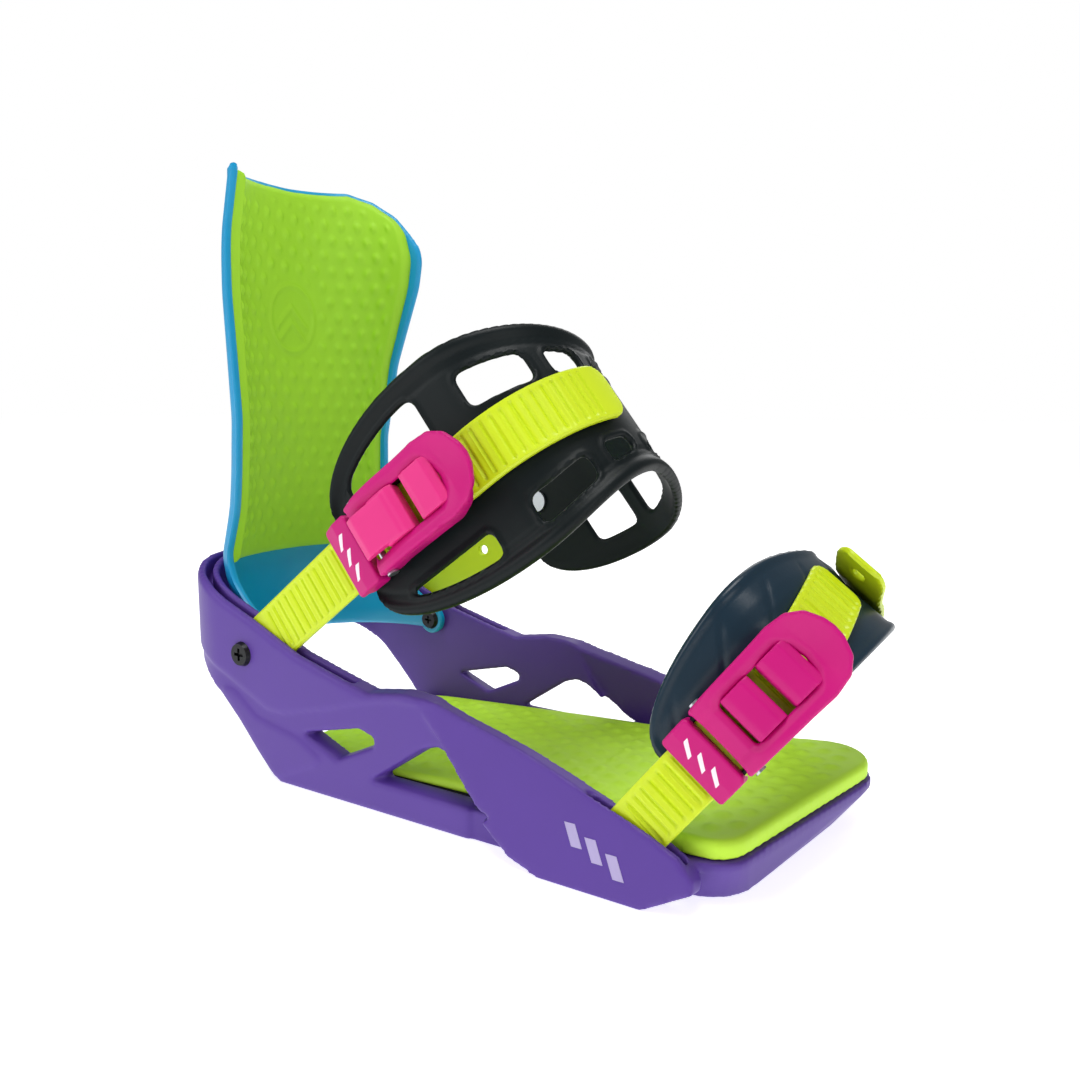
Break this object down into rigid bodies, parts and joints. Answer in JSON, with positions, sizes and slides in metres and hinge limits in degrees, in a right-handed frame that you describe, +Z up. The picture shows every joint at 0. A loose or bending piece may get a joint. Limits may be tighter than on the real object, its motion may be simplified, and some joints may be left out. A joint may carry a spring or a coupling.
{
  "type": "snowboard binding",
  "caption": "Strap snowboard binding for the right foot: base with heel hoop, folding padded highback, dimpled footbed, mounting disc, ankle strap and toe strap with ratchet buckles",
  "frame": {"origin": "centre of the mounting disc, in the plane of the base's underside", "axes": "+X to the toe, +Y to the inner (far) side of the foot, +Z up away from the board; the buckles are on -Y"},
  "size_m": [0.3477, 0.1496, 0.2907],
  "materials": {
    "base_nylon": "moulded glass-filled nylon, satin",
    "disc_plastic": "moulded nylon disc",
    "foam_black": "foam underlay",
    "foam_lime": "dimpled soft foam",
    "highback_blue": "moulded nylon, satin",
    "black_steel": "black coated steel",
    "bright_steel": "zinc plated steel",
    "black_plastic": "moulded nylon",
    "strap_black": "soft moulded strap, satin",
    "ladder_lime": "moulded toothed strap",
    "lever_magenta": "painted die-cast aluminium",
    "pawl_pink": "painted die-cast metal"
  },
  "bodies": {
    "base": {"baseplate": "base_nylon", "mounting_disc": "disc_plastic", "footbed_underlay": "foam_black", "footbed": "foam_lime", "ankle_bolts": "black_steel", "ankle_nuts": "bright_steel", "toe_bolts": "black_steel", "highback_screws": "black_steel"},
    "highback": {"highback": "highback_blue", "highback_pad": "foam_lime"},
    "lean_block": {"lean_block": "black_plastic", "lean_screw": "bright_steel"},
    "ankle_ladder": {"ankle_ladder": "ladder_lime"},
    "toe_ladder": {"toe_ladder": "ladder_lime"},
    "ankle_strap": {"ankle_strap": "strap_black", "ankle_connector": "ladder_lime", "ankle_connector_screw": "bright_steel", "ankle_buckle_base": "black_plastic", "ankle_buckle_cover": "lever_magenta", "ankle_buckle_screws": "bright_steel", "ankle_lever_pin": "bright_steel", "ankle_lock_pin": "bright_steel", "ankle_lock_spring": "bright_steel"},
    "toe_strap": {"toe_cap": "strap_black", "toe_connector": "ladder_lime", "toe_connector_screw": "bright_steel", "toe_buckle_base": "black_plastic", "toe_buckle_cover": "lever_magenta", "toe_buckle_screws": "bright_steel", "toe_lever_pin": "bright_steel", "toe_lock_pin": "bright_steel", "toe_lock_spring": "bright_steel"},
    "ankle_lever": {"ankle_lever": "lever_magenta", "ankle_drive_pin": "bright_steel"},
    "ankle_lock_pawl": {"ankle_lock_pawl": "pawl_pink"},
    "ankle_drive_pawl": {"ankle_drive_pawl": "pawl_pink"},
    "toe_lever": {"toe_lever": "lever_magenta", "toe_drive_pin": "bright_steel"},
    "toe_lock_pawl": {"toe_lock_pawl": "pawl_pink"},
    "toe_drive_pawl": {"toe_drive_pawl": "pawl_pink"}
  },
  "joints": [
    {"name": "highback_fold", "type": "hinge", "parent": "base", "child": "highback", "pos_m": [-0.079, 0, 0.057], "axis": [0, 1, 0], "range_deg": [0, 25]},
    {"name": "lean_block_slide", "type": "slide", "parent": "highback", "child": "lean_block", "axis": [0, 0, 1], "range_m": [0, 0.012]},
    {"name": "ankle_strap_swing", "type": "hinge", "parent": "base", "child": "ankle_strap", "pos_m": [-0.101, 0, 0.0595], "axis": [0, 1, 0], "range_deg": [-16, 12]},
    {"name": "ankle_ladder_swing", "type": "hinge", "parent": "base", "child": "ankle_ladder", "pos_m": [-0.101, 0, 0.0595], "axis": [0, 1, 0], "range_deg": [-16, 12]},
    {"name": "toe_strap_swing", "type": "hinge", "parent": "base", "child": "toe_strap", "pos_m": [0.097, 0, 0.013], "axis": [0, 1, 0], "range_deg": [-12, 10]},
    {"name": "toe_ladder_swing", "type": "hinge", "parent": "base", "child": "toe_ladder", "pos_m": [0.097, 0, 0.013], "axis": [0, 1, 0], "range_deg": [-12, 10]},
    {"name": "ankle_lever_hinge", "type": "hinge", "parent": "ankle_strap", "child": "ankle_lever", "pos_m": [-0.01851, -0.06347, 0.12141], "axis": [0.6157, 0, -0.788], "range_deg": [0, 50]},
    {"name": "ankle_lock_pawl_hinge", "type": "hinge", "parent": "ankle_strap", "child": "ankle_lock_pawl", "pos_m": [-0.00443, -0.06127, 0.13241], "axis": [-0.6157, 0, 0.788], "range_deg": [0, 9], "stiffness_Nm_per_rad": 0.05},
    {"name": "ankle_drive_pawl_hinge", "type": "hinge", "parent": "ankle_lever", "child": "ankle_drive_pawl", "pos_m": [0.00967, -0.05928, 0.14342], "axis": [-0.6157, 0, 0.788], "range_deg": [0, 9], "stiffness_Nm_per_rad": 0.05},
    {"name": "toe_lever_hinge", "type": "hinge", "parent": "toe_strap", "child": "toe_lever", "pos_m": [0.13747, -0.0616, 0.0648], "axis": [0.788, 0, -0.6157], "range_deg": [0, 50]},
    {"name": "toe_lock_pawl_hinge", "type": "hinge", "parent": "toe_strap", "child": "toe_lock_pawl", "pos_m": [0.14682, -0.05781, 0.07677], "axis": [-0.788, 0, 0.6157], "range_deg": [0, 9], "stiffness_Nm_per_rad": 0.05},
    {"name": "toe_drive_pawl_hinge", "type": "hinge", "parent": "toe_lever", "child": "toe_drive_pawl", "pos_m": [0.1562, -0.05419, 0.08878], "axis": [-0.788, 0, 0.6157], "range_deg": [0, 9], "stiffness_Nm_per_rad": 0.05}
  ],
  "couplings": [
    {"joint": "ankle_ladder_swing", "follows": "ankle_strap_swing", "ratio": 1},
    {"joint": "toe_ladder_swing", "follows": "toe_strap_swing", "ratio": 1}
  ]
}
